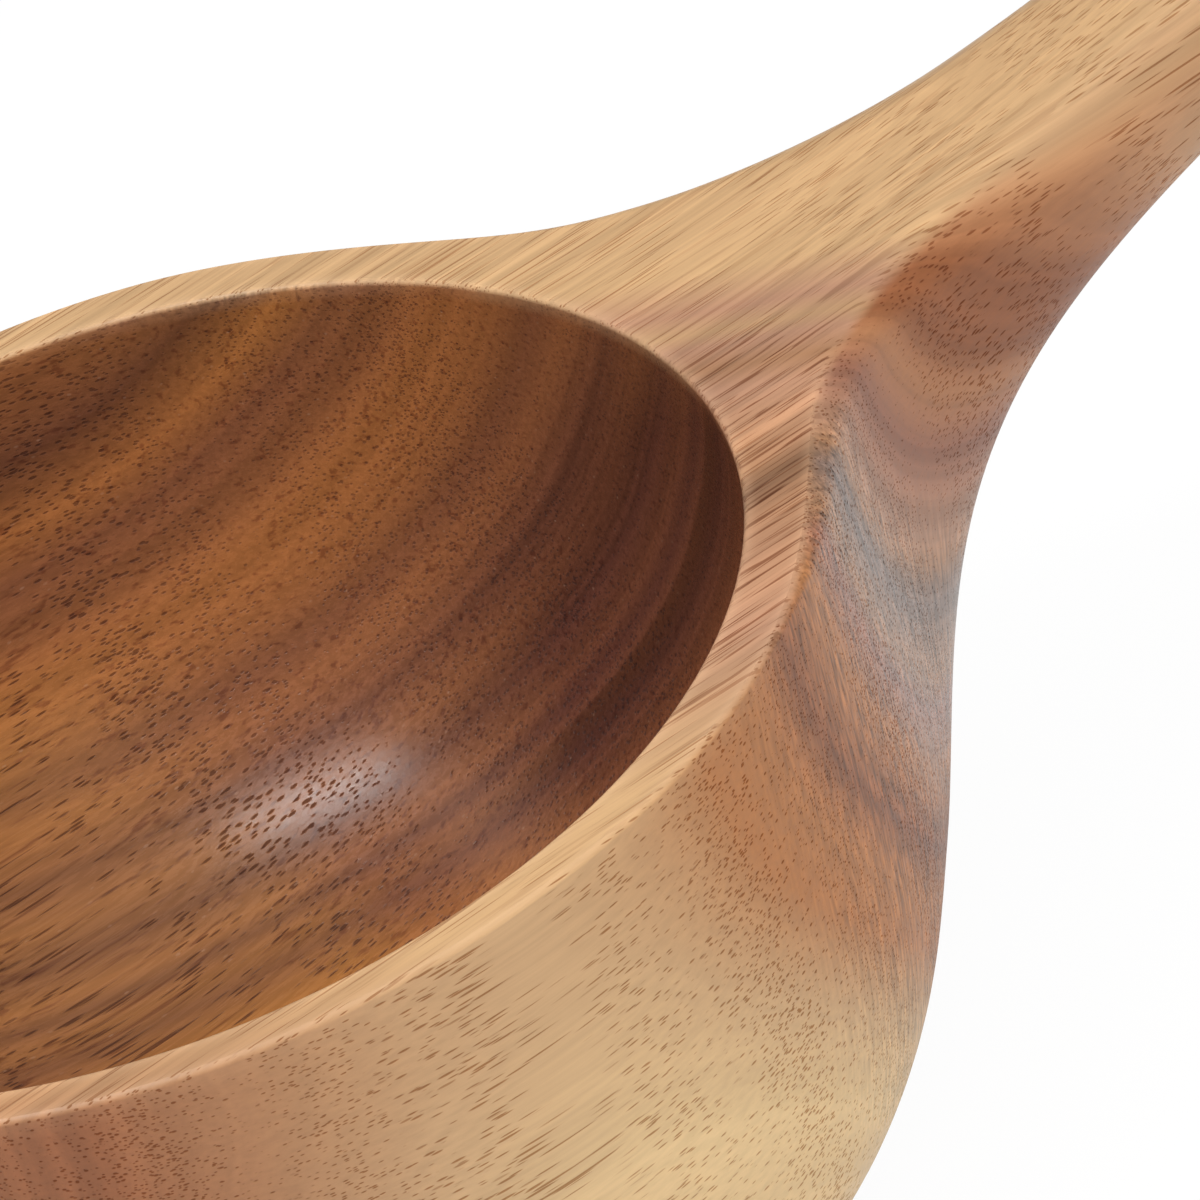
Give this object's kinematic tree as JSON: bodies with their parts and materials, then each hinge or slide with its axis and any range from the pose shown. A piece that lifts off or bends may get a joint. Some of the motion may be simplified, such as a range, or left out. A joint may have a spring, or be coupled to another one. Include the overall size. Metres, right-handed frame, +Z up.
{
  "type": "sauna ladle",
  "caption": "Carved wooden sauna ladle: a deep round bowl with a flat pale rim whose wall sweeps through a thick neck into a long rising handle with a hanging hole.",
  "frame": {"origin": "on the foot's flat face, below the centre of the bowl's opening", "axes": "+X from the bowl towards the end of the handle, +Z up out of the bowl"},
  "size_m": [0.3598, 0.1078, 0.0849],
  "materials": {
    "bowl_wood": "oiled satin, dark brown inside, pale tan rim and outside",
    "handle_wood": "oiled satin",
    "dowel_wood": "raw"
  },
  "bodies": {
    "root": {"bowl": "bowl_wood", "handle": "handle_wood", "dowel_left": "dowel_wood", "dowel_right": "dowel_wood"}
  },
  "joints": []
}
